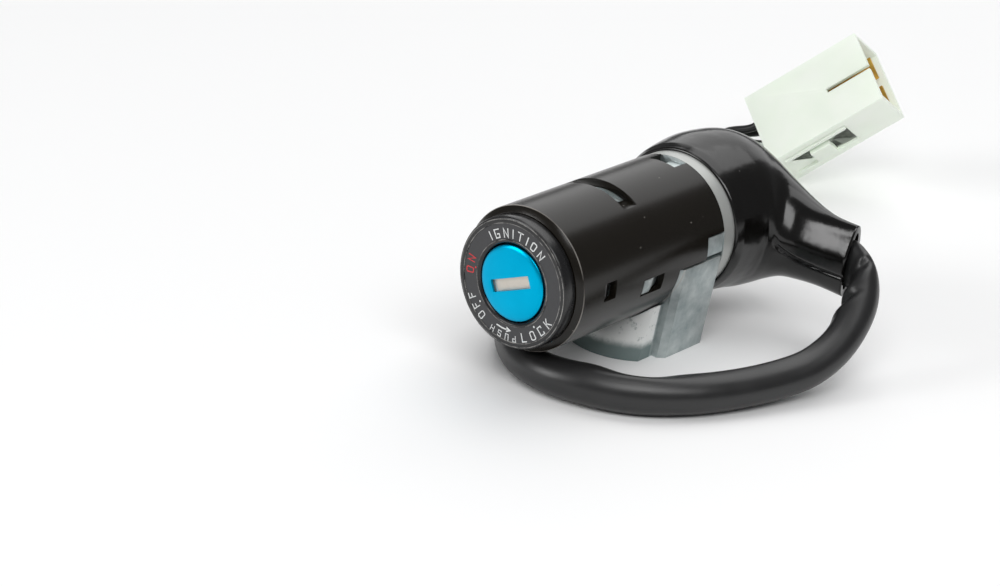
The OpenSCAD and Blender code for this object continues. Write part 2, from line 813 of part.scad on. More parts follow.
lock_housing();
cover();
bezel();
label_ring();
key_cap();
shutter();
shutter_pin();
shutter_spring();
plug();
wafers();
wafer_springs();
retaining_plate();
push_spring();
cam();
lock_bolt();
contact_carrier();
contact_bridge();
contact_springs();
detent_balls();
detent_springs();
contact_base();
fixed_contacts();
base_screws();
boot();
leads();
sleeve();
wires();
connector();
terminals();
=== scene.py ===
# Looks of a motorcycle ignition switch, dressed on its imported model.
# Metres. X right, Y rearward along the lock axis, Z up from the mounting face.
import math

import bmesh
import bpy
from mathutils import Matrix, Vector


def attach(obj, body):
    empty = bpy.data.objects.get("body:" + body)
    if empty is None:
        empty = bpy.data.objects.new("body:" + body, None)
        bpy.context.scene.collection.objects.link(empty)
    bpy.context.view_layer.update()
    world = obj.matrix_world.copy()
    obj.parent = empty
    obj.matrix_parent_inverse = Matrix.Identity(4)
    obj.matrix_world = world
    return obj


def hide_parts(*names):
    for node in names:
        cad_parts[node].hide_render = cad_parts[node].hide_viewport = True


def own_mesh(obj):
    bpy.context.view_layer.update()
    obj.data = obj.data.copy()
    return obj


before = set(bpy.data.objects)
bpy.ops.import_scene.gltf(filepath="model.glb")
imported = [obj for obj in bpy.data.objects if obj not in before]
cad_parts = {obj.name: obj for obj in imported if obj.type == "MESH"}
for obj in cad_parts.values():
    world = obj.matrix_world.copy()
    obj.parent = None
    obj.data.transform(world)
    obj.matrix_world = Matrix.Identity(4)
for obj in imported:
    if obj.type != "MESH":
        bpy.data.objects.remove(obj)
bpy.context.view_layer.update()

# Studio
# A pale seamless table under soft boxes, seen from the front right by a long lens, as small
# parts are photographed for a catalogue.
MM = 0.001


def linear(colour):
    """An sRGB hex colour as linear RGBA."""
    parts = [int(colour[i:i + 2], 16) / 255 for i in (1, 3, 5)]
    return [c / 12.92 if c <= 0.04045 else ((c + 0.055) / 1.055) ** 2.4 for c in parts] + [1.0]


def add(tree, kind, inputs=None, **settings):
    """Adds a node with its settings; inputs are values or the sockets that feed them."""
    made = tree.nodes.new(kind)
    for name, value in settings.items():
        setattr(made, name, value)
    for socket, source in (inputs or {}).items():
        if isinstance(source, bpy.types.NodeSocket):
            tree.links.new(source, made.inputs[socket])
        else:
            made.inputs[socket].default_value = source
    return made


def material(name, **sockets):
    """A material with one Principled shader, its constants set directly, and its Object coordinates."""
    made = bpy.data.materials.new(name)
    made.use_nodes = True
    tree = made.node_tree
    shader = tree.nodes["Principled BSDF"]
    for socket, value in sockets.items():
        shader.inputs[socket.replace("_", " ")].default_value = value
    spot = add(tree, "ShaderNodeTexCoord").outputs["Object"]
    return made, tree, shader, spot


def grained(tree, shader, spot, size, strength, depth, detail=2.0):
    """Gives a finish its grain: fine bumps of a size and depth."""
    grain = add(tree, "ShaderNodeTexNoise", {"Vector": spot, "Scale": 1 / size, "Detail": detail})
    bump = add(tree, "ShaderNodeBump", {
        "Height": grain.outputs["Fac"], "Strength": strength, "Distance": depth})
    tree.links.new(bump.outputs["Normal"], shader.inputs["Normal"])


def place(obj):
    bpy.context.scene.collection.objects.link(obj)
    return obj


lens = bpy.data.cameras.new("long_lens")
lens.sensor_width = 36.0
lens.lens = 106.54
lens.clip_start = 0.01
lens.clip_end = 50.0
camera = place(bpy.data.objects.new("camera", lens))
camera_at = Vector((0.33841, -0.48364, 0.25492))
right = Vector((0.7637, 0.6400, 0.0848)).normalized()
back = Vector((0.5660, -0.7270, 0.3889)).normalized()
up = back.cross(right).normalized()
right = up.cross(back).normalized()
turn = Matrix((right, up, back)).transposed().to_4x4()
camera.matrix_world = Matrix.Translation(camera_at) @ turn
bpy.context.scene.camera = camera
bpy.context.scene.view_settings.view_transform = "Standard"

world = bpy.data.worlds.new("studio")
bpy.context.scene.world = world
world.use_nodes = True
background = world.node_tree.nodes["Background"]
background.inputs["Color"].default_value = linear("#e9eaec")
background.inputs["Strength"].default_value = 0.2

# Matt paper: even and almost white, with hardly any grain. It lies just under the connector's edge.
table_reach = 30
table_height = -0.05 * MM
table_corners = [(x * table_reach, y * table_reach, 0)
                 for x, y in ((-1, -1), (1, -1), (1, 1), (-1, 1))]
floor_mesh = bpy.data.meshes.new("table")
floor_mesh.from_pydata(table_corners, [], [(0, 1, 2, 3)])
floor = place(bpy.data.objects.new("table", floor_mesh))
paper, tree, shader, spot = material("matt_paper", Base_Color=linear("#f6f6f6"), Roughness=0.9)
grained(tree, shader, spot, size=3 * MM, strength=0.03, depth=0.05 * MM, detail=3.0)
floor_mesh.materials.append(paper)
floor.location.z = table_height


def soft_box(name, azimuth, elevation, distance, wide, high, power):
    """A soft box that faces the switch; azimuth 0 is behind it, 90 to its right."""
    lamp = bpy.data.lights.new(name, "AREA")
    lamp.shape = "RECTANGLE"
    lamp.size = wide
    lamp.size_y = high
    lamp.energy = power
    holder = place(bpy.data.objects.new(name, lamp))
    a, e = math.radians(azimuth), math.radians(elevation)
    way = Vector((math.sin(a) * math.cos(e), math.cos(a) * math.cos(e), math.sin(e)))
    aim = Vector((0.005, 0.02, 0.02))
    holder.location = aim + way * distance
    holder.rotation_euler = (-way).to_track_quat("-Z", "Y").to_euler()


soft_box("back_box", azimuth=-24, elevation=34, distance=1.25, wide=1.35, high=1.0, power=5.5)
soft_box("top_box", azimuth=-10, elevation=74, distance=1.4, wide=1.2, high=1.0, power=7.8)
soft_box("front_box", azimuth=212, elevation=21, distance=1.3, wide=0.46, high=0.52, power=4.8)
soft_box("side_box", azimuth=134, elevation=48, distance=1.1, wide=1.0, high=0.45, power=6.7)

# Sleeve
# The soft PVC sleeve that gathers the wires, extruded as a thin tube. It leaves the boot's mouth,
# lies on the table round the front of the switch and ends short of the connector.
sleeve_route = [
    (24, 27.8, 21), (28, 27, 21.2), (32.5, 26, 21.4), (37.6, 24.9, 20.9), (41.6, 22.6, 18.9),
    (44, 17.2, 14.9), (44.8, 10, 9.9), (43.8, 2.6, 6.5), (41.6, -4.6, 5), (38, -14.6, 4.4),
    (33, -24.4, 4.3), (25.4, -33, 4.4), (16, -38, 4.5), (6.2, -39.4, 4.2), (-3, -36.4, 3.9),
    (-11.5, -28.6, 3.9), (-18, -17, 4), (-24, 0, 4), (-31, 19, 4), (-38, 38, 4),
    (-43.5, 54, 4.1), (-46, 62, 4.2)]
sleeve_radius = 3.9 * MM
# Creases: how far each stands out, in radii, where along it lies, how long it is, where round and
# how broad. First the kink at the boot, then the ridge of the right side, then the front's hollow.
sleeve_creases = [
    (-0.15, 0.172, 0.009, 2.0, 0.5), (0.09, 0.160, 0.007, 2.0, 0.5),
    (0.10, 0.40, 0.13, 2.05, 0.28), (-0.035, 0.40, 0.13, 0.95, 0.5), (-0.06, 0.40, 0.13, 2.75, 0.3),
    (-0.32, 0.522, 0.030, 2.0, 0.45), (0.06, 0.568, 0.014, 1.6, 0.5), (0.07, 0.530, 0.040, 1.2, 0.22)]
# The sharp fold inside the first bend, which runs aslant: stand-out, place before or after it, length.
sleeve_fold = [(-0.42, 0, 0.0075), (0.16, -0.020, 0.012), (0.10, 0.016, 0.010)]


def between(a, b, c, d, t):
    """The point at share t from b to c on a smooth curve through a, b, c and d."""
    return 0.5 * (2 * b + (c - a) * t + (2 * a - 5 * b + 4 * c - d) * t * t
                  + (3 * b - a - 3 * c + d) * t ** 3)


def smooth_way(points, steps):
    """Points along a smooth curve through the given ones, which are in mm."""
    p = [Vector(q) * MM for q in points]
    way = []
    for i in range(len(p) - 1):
        a, b, c, d = p[max(i - 1, 0)], p[i], p[i + 1], p[min(i + 2, len(p) - 1)]
        way += [between(a, b, c, d, k / steps) for k in range(steps)]
    return way + [p[-1]]


def frames_along(way):
    """A level side and a rise at each point of a way, both square to it."""
    frames = []
    for i in range(len(way)):
        ahead = (way[min(i + 1, len(way) - 1)] - way[max(i - 1, 0)]).normalized()
        side = Vector((0, 0, 1)).cross(ahead).normalized()
        frames.append((side, ahead.cross(side)))
    return frames


def shell(name, rings, closed_ends=True):
    """A smooth mesh of quads over rings of points, with flat ends."""
    n = len(rings[0])
    mesh = bpy.data.meshes.new(name)
    points = [p for ring in rings for p in ring]
    faces = [(i * n + k, i * n + (k + 1) % n, (i + 1) * n + (k + 1) % n, (i + 1) * n + k)
             for i in range(len(rings) - 1) for k in range(n)]
    if closed_ends:
        faces += [tuple(range(n - 1, -1, -1)), tuple((len(rings) - 1) * n + k for k in range(n))]
    mesh.from_pydata(points, [], faces)
    mesh.polygons.foreach_set("use_smooth", [len(f) == 4 for f in faces])
    mesh.update()
    return place(bpy.data.objects.new(name, mesh))


def bell(x, middle, width):
    return math.exp(-((x - middle) / width) ** 2)


def tube(name, way, sides, radius, shape=None):
    """A tube along a way; shape(share along, angle) gives its wide and high reach, in radii."""
    rings = []
    for i, (point, (side, rise)) in enumerate(zip(way, frames_along(way))):
        ring = []
        for k in range(sides):
            a = 2 * math.pi * k / sides
            wide, high = shape(i / (len(way) - 1), a) if shape else (1.0, 1.0)
            ring.append(point + radius * (wide * math.cos(a) * side + high * math.sin(a) * rise))
        rings.append(ring)
    return shell(name, rings)


def sleeve_shape(t, a):
    """Pressed flat at the boot's mouth, folded in the first bend, then round, with its creases."""
    mouth_end, round_after = 0.1, 0.16
    opened = max(0.0, min(1.0, (t - mouth_end) / round_after))
    flat = 0.5 + 0.5 * math.cos(math.pi * opened)
    front_swell = 0.12 * bell(t, 0.54, 0.07)
    inner_side = bell(a, 2.75, 0.75)
    fold_at = 0.222 + 0.0134 * (a - math.pi / 2)
    r = 1 + front_swell
    for out, after, length in sleeve_fold:
        r += out * bell(t, fold_at + after, length) * inner_side
    for out, along, length, around, breadth in sleeve_creases:
        r += out * bell(t, along, length) * bell(a, around, breadth)
    flat_narrower, flat_higher = 0.516, 0.44
    return r * (1 - flat_narrower * flat), r * (1 + flat_higher * flat)


sleeve_way = smooth_way(sleeve_route, steps=16)
sleeve = tube("sleeve_tube", sleeve_way, sides=48, radius=sleeve_radius, shape=sleeve_shape)


def mottled(tree, shader, spot, size, dark, light, detail=4.0):
    """Colours a finish in soft clouds of two tones, and returns the clouds."""
    cloud = add(tree, "ShaderNodeTexNoise", {"Vector": spot, "Scale": 1 / size, "Detail": detail})
    tone = add(tree, "ShaderNodeValToRGB", {"Fac": cloud.outputs["Fac"]})
    tone.color_ramp.elements[0].color = linear(dark)
    tone.color_ramp.elements[1].color = linear(light)
    tree.links.new(tone.outputs["Color"], shader.inputs["Base Color"])
    return cloud.outputs["Fac"]


def hazed(tree, shader, cloud, glossy, dull):
    """Lets the roughness of a finish vary with its clouds."""
    haze = add(tree, "ShaderNodeMapRange", {"Value": cloud, "To Min": glossy, "To Max": dull})
    tree.links.new(haze.outputs["Result"], shader.inputs["Roughness"])


# Extruded PVC: black with a satin gloss, which fades in soft clouds where it has been handled.
sleeve_pvc, tree, shader, spot = material("extruded_pvc", IOR=1.53)
cloud = mottled(tree, shader, spot, 6 * MM, "#171717", "#252526")
hazed(tree, shader, cloud, glossy=0.29, dull=0.42)
grained(tree, shader, spot, size=0.5 * MM, strength=0.12, depth=0.1 * MM)
sleeve.data.materials.append(sleeve_pvc)
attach(sleeve, "housing")
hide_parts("sleeve")

# Connector and terminals
# A male multi-way plug shell moulded in natural nylon, milky and slightly green, with four brass
# blades pressed in from the wire end.


def node_copy(name, node, width):
    """A copy of a CAD node with its edges rounded, as moulding and casting leave them."""
    weld, level = 0.002 * MM, math.radians(0.6)
    rounded_from, smooth_below = math.radians(32), math.radians(30)
    work = bmesh.new()
    work.from_mesh(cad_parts[node].data)
    bmesh.ops.remove_doubles(work, verts=work.verts, dist=weld)
    bmesh.ops.dissolve_limit(work, angle_limit=level, verts=work.verts, edges=work.edges)
    mesh = bpy.data.meshes.new(name)
    work.to_mesh(mesh)
    work.free()
    draft = place(bpy.data.objects.new(name + "_draft", mesh))
    bevel = draft.modifiers.new("rounded", "BEVEL")
    bevel.width = width
    bevel.segments = 2
    bevel.limit_method = "ANGLE"
    bevel.angle_limit = rounded_from
    bevel.use_clamp_overlap = True
    bevel.miter_outer = "MITER_ARC"
    done = bpy.data.meshes.new_from_object(draft.evaluated_get(bpy.context.evaluated_depsgraph_get()))
    bpy.data.objects.remove(draft)
    work = bmesh.new()
    work.from_mesh(done)
    for edge in work.edges:
        edge.smooth = len(edge.link_faces) == 2 and edge.calc_face_angle() < smooth_below
    for face in work.faces:
        face.smooth = True
        face.material_index = 0
    work.to_mesh(done)
    work.free()
    done.name = name
    done.materials.clear()
    return place(bpy.data.objects.new(name, done))


# Natural nylon: light goes a little way in, which makes it milky, and its skin has a soft sheen.
connector = node_copy("connector_shell", "connector", 0.35 * MM)
nylon, tree, shader, spot = material(
    "natural_nylon", Roughness=0.36, IOR=1.53, Subsurface_Weight=0.3,
    Subsurface_Radius=(0.9, 1.0, 0.85), Subsurface_Scale=3 * MM)
mottled(tree, shader, spot, 9 * MM, "#ecfae6", "#f8fff3", detail=2.0)
grained(tree, shader, spot, size=0.8 * MM, strength=0.1, depth=0.1 * MM)
connector.data.materials.append(nylon)
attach(connector, "housing")
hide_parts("connector")

# Stamped brass: warm yellow metal, clouded where it has tarnished.
terminals = node_copy("terminal_blades", "terminals", 0.15 * MM)
brass, tree, shader, spot = material("stamped_brass", Metallic=1.0)
cloud = mottled(tree, shader, spot, 3 * MM, "#b98a35", "#e2bb62")
hazed(tree, shader, cloud, glossy=0.22, dull=0.4)
terminals.data.materials.append(brass)
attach(terminals, "housing")
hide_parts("terminals")

# Wires
# Four stranded wires in black PVC with a pale tracer line, which leave the sleeve's end side by
# side and enter the connector's back.
plug_at = Vector((-38.6, 103.3, 9.5))
plug_turns = (("Z", 31.2), ("Y", -39.5), ("X", 44.4))
plug_turn = Matrix.Identity(3)
for axis, angle in plug_turns:
    plug_turn = plug_turn @ Matrix.Rotation(math.radians(angle), 3, axis)
sleeve_end = Vector(sleeve_route[-1])
end_way = (sleeve_end - Vector(sleeve_route[-2])).normalized()
wire_middle = [sleeve_end - 0.4 * end_way, sleeve_end + 8 * end_way,
               Vector((-52, 79, 3.6)), Vector((-52.6, 88, 3.8)), Vector((-50.8, 95.5, 5.4))]
wire_radius = 1.0
wire_apart = 1.25
wire_sides, tracer_sides = 24, 4
cell_across, cell_up = 4.4, 3


def tinted(tree, shader, share, base, mark):
    """Colours a finish: its base, and a mark as far as a share goes."""
    tone = add(tree, "ShaderNodeMix", {
        "Factor": share, "A": linear(base), "B": linear(mark)}, data_type="RGBA")
    tree.links.new(tone.outputs["Result"], shader.inputs["Base Color"])


# Wire PVC: black with a satin gloss and a pale printed line along it.
wire_pvc, tree, shader, spot = material("wire_pvc", IOR=1.53)
tracer = add(tree, "ShaderNodeAttribute", attribute_name="tracer")
tinted(tree, shader, tracer.outputs["Fac"], "#161717", "#c9d2cc")
cloud = add(tree, "ShaderNodeTexNoise", {"Vector": spot, "Scale": 1 / (2 * MM), "Detail": 3.0})
hazed(tree, shader, cloud.outputs["Fac"], glossy=0.26, dull=0.42)
for number, (i, j) in enumerate([(-1, -1), (-1, 1), (1, -1), (1, 1)], 1):
    wire_route = [point + wire_apart * i * side + Vector((0, 0, wire_apart * j))
                  for point, (side, _) in zip(wire_middle, frames_along(wire_middle))]
    # The rest of the way is given along the connector's own axes, and ends in the wire's cell.
    wire_route += [plug_at + plug_turn @ Vector(q) for q in (
        (-8, 5 + wire_apart * i, 2 + 1.2 * j), (-2, 1.5 + 2.6 * i, 0.6 + 1.7 * j),
        (4.2, cell_across * i, cell_up * j), (7.2, cell_across * i, cell_up * j))]
    wire_way = smooth_way(wire_route, steps=12)
    wire = tube(f"wire_{number}", wire_way, sides=wire_sides, radius=wire_radius * MM)
    stripe = wire.data.attributes.new("tracer", "FLOAT", "POINT")
    first_side = 5 * number
    stripe.data.foreach_set("value", [
        float((v - first_side) % wire_sides < tracer_sides) for v in range(len(wire.data.vertices))])
    wire.data.materials.append(wire_pvc)
    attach(wire, "housing")
    if number == 1:
        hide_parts("wires")

# Boot
# The elbow boot of soft glossy PVC, dip-moulded. It is stretched over the housing's rear flange,
# turns to the right and ends in a flattened mouth round the sleeve; its front wall is creased.
axis_height = 23.5
boot_at = Vector((0, 10.5, axis_height))
# Sections along the elbow: x, y, z, heading in degrees, half width, half height and lean.
boot_sections = [
    (0, 0, 0, 0, 16.35, 16.35, 0), (0, 4.5, 0.1, 0, 17.1, 17.1, 0), (0.5, 9.5, 0.3, 6, 17.5, 17.6, 0),
    (2.5, 14.5, 0.2, 20, 16.6, 17.6, 0), (6.4, 18.2, -0.2, 35, 14.8, 16, 0),
    (11.3, 19.6, -0.8, 49.5, 12.1, 13.4, 0), (16.4, 19.3, -1.4, 62.5, 9.3, 10.9, 0.1),
    (22, 18, -1.9, 74, 6.9, 9.3, 0.3), (28.6, 16.3, -2, 79, 4.8, 8.3, 0.5),
    (35.8, 14.9, -1.8, 80, 3.4, 8.3, 0.7)]
boot_sides = 160
boot_steps = 7
# The rolled lip on the flange: how far in, and how far behind the first section. It takes the place
# of the first rings, and the wall is stretched thin over the flange.
boot_lip = ((0.75, 0.0), (0.5, 0.03), (0.36, 0.16), (0.2, 0.5), (0.06, 1.0))
lip_rings = 3
flange_rings = 7
boot_wall = 1.6
mouth_rounding = 0.25


def eased(x):
    x = max(0.0, min(1.0, x))
    return x * x * (3 - 2 * x)


def boot_dent(t, a):
    """How far the front wall lies behind the plain loft, in mm, at a share along and an angle.

    A crease sinks along the spout, with the wall drawn in below it and sloping back above it. The
    elbow before it swells.
    """
    spout = eased((t - 0.42) / 0.25)
    crease_at = math.radians(-2 - 20 * eased((t - 0.45) / 0.55))
    off = math.atan2(math.sin(a - crease_at), math.cos(a - crease_at))
    below = 0.5 - 0.5 * math.tanh(off / 0.05)
    crease = 0.75 * bell(off, 0, 0.055) + 0.45 * below * bell(off, 0, 0.6)
    slope = 0.95 * eased((math.sin(a) - 0.05) / 0.65) if math.cos(a) > 0 else 0.0
    elbow = 0.95 * eased((t - 0.17) / 0.4) * eased((0.8 - t) / 0.22)
    return spout * (crease + slope) - elbow * bell(a, 0.2, 0.7)


spans = []
last = len(boot_sections) - 1
for i in range(last):
    around = [boot_sections[j] for j in (max(i - 1, 0), i, i + 1, min(i + 2, last))]
    for k in range(boot_steps):
        spans.append([between(*four, k / boot_steps) for four in zip(*around)])
spans.append(list(boot_sections[-1]))


def boot_ring(index, inset, dented=1.0):
    """One ring of the boot's skin, set in from its section and dented by a share."""
    x, y, z, heading, wide, high, lean = spans[index]
    t = index / (len(spans) - 1)
    h = math.radians(heading)
    ring = []
    for k in range(boot_sides):
        a = 2 * math.pi * k / boot_sides
        within = math.atan2(math.sin(a), math.cos(a))
        across = (wide - inset - dented * boot_dent(t, within)) * math.cos(a)
        along = lean * math.sin(a)
        level = Vector((x + across * math.cos(h) + along * math.sin(h),
                        y - across * math.sin(h) + along * math.cos(h), z + (high - inset) * math.sin(a)))
        ring.append((boot_at + level) * MM)
    return ring


def wall_at(index):
    """The wall's thickness at a ring, from the thin lip on."""
    lip_wall, growth = 0.8, 0.057
    return boot_wall if index > flange_rings else lip_wall + growth * index


mouth = len(spans) - 1
rings = [[p + Vector((0, behind * MM, 0)) for p in boot_ring(0, inset)] for inset, behind in boot_lip]
rings += [boot_ring(i, inset=0) for i in range(lip_rings, mouth + 1)]
rings += [boot_ring(mouth, inset=mouth_rounding)]
rings += [boot_ring(mouth, inset=boot_wall - mouth_rounding, dented=0.4)]
rings += [boot_ring(i, inset=wall_at(i), dented=0.3) for i in range(mouth, -1, -1)]
boot = shell("boot_skin", rings, closed_ends=False)
work = bmesh.new()
work.from_mesh(boot.data)
bmesh.ops.remove_doubles(work, verts=work.verts, dist=0.001 * MM)
bmesh.ops.recalc_face_normals(work, faces=work.faces)
for face in work.faces:
    face.smooth = True
work.to_mesh(boot.data)
work.free()


def specks(tree, spot, spacing, reach, share):
    """Single specks of dust: a spacing apart, a reach in spacings, on a share of the places."""
    places = add(tree, "ShaderNodeTexVoronoi", {"Vector": spot, "Scale": 1 / spacing})
    near = add(tree, "ShaderNodeMath", {0: places.outputs["Distance"], 1: reach}, operation="LESS_THAN")
    rare = add(tree, "ShaderNodeMath", {0: places.outputs["Color"], 1: share}, operation="LESS_THAN")
    dusty = add(tree, "ShaderNodeMath", {
        0: near.outputs["Value"], 1: rare.outputs["Value"]}, operation="MULTIPLY")
    return dusty.outputs["Value"]


# Dip-moulded PVC: high gloss, slightly wavy, with single specks of dust.
boot_pvc, tree, shader, spot = material("dipped_pvc", IOR=1.53)
dusty = specks(tree, spot, spacing=2.6 * MM, reach=0.035, share=0.3)
tinted(tree, shader, dusty, "#080706", "#8c8a88")
cloud = add(tree, "ShaderNodeTexNoise", {"Vector": spot, "Scale": 1 / (8 * MM), "Detail": 3.0})
hazed(tree, shader, cloud.outputs["Fac"], glossy=0.13, dull=0.24)
grained(tree, shader, spot, size=4 * MM, strength=0.2, depth=0.5 * MM)
boot.data.materials.append(boot_pvc)
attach(boot, "housing")
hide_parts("boot")

# Leads
# The wire ends inside the boot, soldered to the tags of the contact rivets and bent towards the
# sleeve. They are the same PVC-covered wire as outside it.


def dress(node, finish):
    """Gives a CAD node its finish and leaves its shape as it is."""
    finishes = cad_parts[node].data.materials
    finishes.clear()
    finishes.append(finish)


dress("leads", wire_pvc)

# Lock housing
# A zinc die casting with barrel, rear flange and mounting foot, as cast and thinly plated: cool
# grey, soft sheen, with a painted reflection on the flange ring and painted reflections on the foot's
# nose.
flange_radius, barrel_radius = 15.4, 13.65


def turned(piece, radii):
    """Gives the faces of a piece that are turned about the lock axis their true normals."""
    square, slack = 0.98, 0.06 * MM
    mesh = piece.data
    normals = [Vector((0, 0, 0))] * len(mesh.loops)
    for face in mesh.polygons:
        for i in face.loop_indices:
            corner = mesh.vertices[mesh.loops[i].vertex_index].co
            out = Vector((corner.x, 0, corner.z - axis_height * MM))
            share = face.normal.dot(out.normalized())
            if abs(share) > square and any(abs(out.length - r * MM) < slack for r in radii):
                normals[i] = out.normalized() * math.copysign(1, share)
    mesh.normals_split_custom_set(normals)


def axis_reach(tree, spot):
    """The distance from the lock axis."""
    centred = add(tree, "ShaderNodeMapping", {
        "Vector": spot, "Location": (0, 0, -axis_height * MM), "Scale": (1, 0, 1)})
    reach = add(tree, "ShaderNodeVectorMath", {0: centred.outputs["Vector"]}, operation="LENGTH")
    return reach.outputs["Value"]


housing = node_copy("housing_casting", "lock_housing", 0.22 * MM)
turned(housing, (flange_radius, barrel_radius))
# Zinc: mottled by its plating. The flange ring is painted pale and less metallic, a painted reflection.
# The nose is painted pale above and dark teal along its foot, painted reflections, with flecks of dirt in
# the pale part.
zinc, tree, shader, spot = material("cast_zinc")
cloud = add(tree, "ShaderNodeTexNoise", {
    "Vector": spot, "Scale": 1 / (5 * MM), "Detail": 5.0, "Roughness": 0.6})
tone = add(tree, "ShaderNodeValToRGB", {"Fac": cloud.outputs["Fac"]})
for stop, position, colour in zip(tone.color_ramp.elements, (0.3, 0.7), ("#919d9f", "#c8cfce")):
    stop.position = position
    stop.color = linear(colour)
axes = add(tree, "ShaderNodeSeparateXYZ", {"Vector": spot})
ahead = add(tree, "ShaderNodeMapRange", {
    "Value": axes.outputs["Y"], "From Min": -8.3 * MM, "From Max": -8.7 * MM})
below = add(tree, "ShaderNodeMapRange", {
    "Value": axes.outputs["Z"], "From Min": 18 * MM, "From Max": 15 * MM})
nose = add(tree, "ShaderNodeMath", {
    0: ahead.outputs["Result"], 1: below.outputs["Result"]}, operation="MULTIPLY")
spots = add(tree, "ShaderNodeTexNoise", {
    "Vector": spot, "Scale": 1 / (1.8 * MM), "Detail": 6.0, "Roughness": 0.7})
ragged_height = add(tree, "ShaderNodeMath", {
    0: spots.outputs["Fac"], 1: 1.4 * MM, 2: axes.outputs["Z"]}, operation="MULTIPLY_ADD")
rise = add(tree, "ShaderNodeMapRange", {
    "Value": ragged_height.outputs["Value"], "From Min": 3.3 * MM, "From Max": 5.5 * MM},
    interpolation_type="SMOOTHSTEP")
# Flecks of dirt on the nose's pale painted reflection.
flecked = add(tree, "ShaderNodeMapRange", {
    "Value": spots.outputs["Fac"], "From Min": 0.57, "From Max": 0.68})
pale_reflection_and_flecks = add(tree, "ShaderNodeMix", {
    "Factor": flecked.outputs["Result"], "A": linear("#f4f6f4"), "B": linear("#a9b2b0")},
    data_type="RGBA")
# Painted reflection on the nose: pale above, dark teal along its foot.
painted_nose_reflection = add(tree, "ShaderNodeMix", {
    "Factor": rise.outputs["Result"], "A": linear("#82908f"), "B": pale_reflection_and_flecks.outputs["Result"]},
    data_type="RGBA")
cast = add(tree, "ShaderNodeMix", {
    "Factor": nose.outputs["Value"], "A": tone.outputs["Color"], "B": painted_nose_reflection.outputs["Result"]},
    data_type="RGBA")
# Painted reflection: the flange ring is painted pale and made less metallic.
flange = add(tree, "ShaderNodeMath", {
    0: axis_reach(tree, spot), 1: flange_radius * MM, 2: 0.12 * MM}, operation="COMPARE")
bright = add(tree, "ShaderNodeMix", {
    "Factor": flange.outputs["Value"], "A": cast.outputs["Result"], "B": linear("#b9bbb8")},
    data_type="RGBA")
tree.links.new(bright.outputs["Result"], shader.inputs["Base Color"])
# The nose's pale painted reflection is also made almost not metallic.
painted_pale_nose = add(tree, "ShaderNodeMath", {
    0: nose.outputs["Value"], 1: rise.outputs["Result"]}, operation="MULTIPLY")
dull = add(tree, "ShaderNodeMath", {
    0: flange.outputs["Value"], 1: 0.5, 2: painted_pale_nose.outputs["Value"]}, operation="MULTIPLY_ADD")
metal = add(tree, "ShaderNodeMapRange", {"Value": dull.outputs["Value"], "To Min": 0.82, "To Max": 0.08})
tree.links.new(metal.outputs["Result"], shader.inputs["Metallic"])
hazed(tree, shader, cloud.outputs["Fac"], glossy=0.34, dull=0.5)
grained(tree, shader, spot, size=0.7 * MM, strength=0.22, depth=0.12 * MM, detail=3.0)
housing.data.materials.append(zinc)
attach(housing, "housing")
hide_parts("lock_housing")
dress("cam", zinc)

# Hole threads
# The coarse M6 threads tapped into the foot's two screw holes: one ridge wound round each bore,
# of the casting's own zinc.
thread_sizes = {"Pitch": 1.0 * MM, "Turns": 10.0, "Bore radius": 2.5 * MM, "Ridge": 0.3 * MM,
                "Spacing": 17 * MM}
thread_tree = bpy.data.node_groups.new("tapped_threads", "GeometryNodeTree")
sockets = {}
for name in [*thread_sizes, "Finish"]:
    kind = "NodeSocketFloat" if name in thread_sizes else "NodeSocketMaterial"
    sockets[name] = thread_tree.interface.new_socket(name, in_out="INPUT", socket_type=kind).identifier
thread_tree.interface.new_socket("Threads", in_out="OUTPUT", socket_type="NodeSocketGeometry")
given = add(thread_tree, "NodeGroupInput").outputs
height = add(thread_tree, "ShaderNodeMath", {0: given["Pitch"], 1: given["Turns"]}, operation="MULTIPLY")
winding = add(thread_tree, "GeometryNodeCurveSpiral", {
    "Resolution": 36, "Rotations": given["Turns"], "Start Radius": given["Bore radius"],
    "End Radius": given["Bore radius"], "Height": height.outputs["Value"]})
ridge = add(thread_tree, "GeometryNodeCurvePrimitiveCircle", {"Resolution": 4, "Radius": given["Ridge"]})
thread = add(thread_tree, "GeometryNodeCurveToMesh", {
    "Curve": winding.outputs["Curve"], "Profile Curve": ridge.outputs["Curve"], "Fill Caps": True})
half = add(thread_tree, "ShaderNodeMath", {0: given["Spacing"], 1: -0.5}, operation="MULTIPLY")
first = add(thread_tree, "ShaderNodeCombineXYZ", {"X": half.outputs["Value"], "Z": 0.6 * MM})
stride = add(thread_tree, "ShaderNodeCombineXYZ", {"X": given["Spacing"]})
holes = add(thread_tree, "GeometryNodeMeshLine", {
    "Count": 2, "Start Location": first.outputs["Vector"], "Offset": stride.outputs["Vector"]})
placed = add(thread_tree, "GeometryNodeInstanceOnPoints", {
    "Points": holes.outputs["Mesh"], "Instance": thread.outputs["Mesh"]})
whole = add(thread_tree, "GeometryNodeRealizeInstances", {"Geometry": placed.outputs["Instances"]})
dressed = add(thread_tree, "GeometryNodeSetMaterial", {
    "Geometry": whole.outputs["Geometry"], "Material": given["Finish"]})
add(thread_tree, "NodeGroupOutput", {"Threads": dressed.outputs["Geometry"]})
draft = place(bpy.data.objects.new("thread_draft", bpy.data.meshes.new("thread_draft")))
tapped = draft.modifiers.new("tapped", "NODES")
tapped.node_group = thread_tree
for name, size in thread_sizes.items():
    tapped[sockets[name]] = size
tapped[sockets["Finish"]] = zinc
thread_mesh = bpy.data.meshes.new_from_object(draft.evaluated_get(bpy.context.evaluated_depsgraph_get()))
bpy.data.objects.remove(draft)
thread_mesh.name = "hole_threads"
threads = place(bpy.data.objects.new("hole_threads", thread_mesh))
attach(threads, "housing")
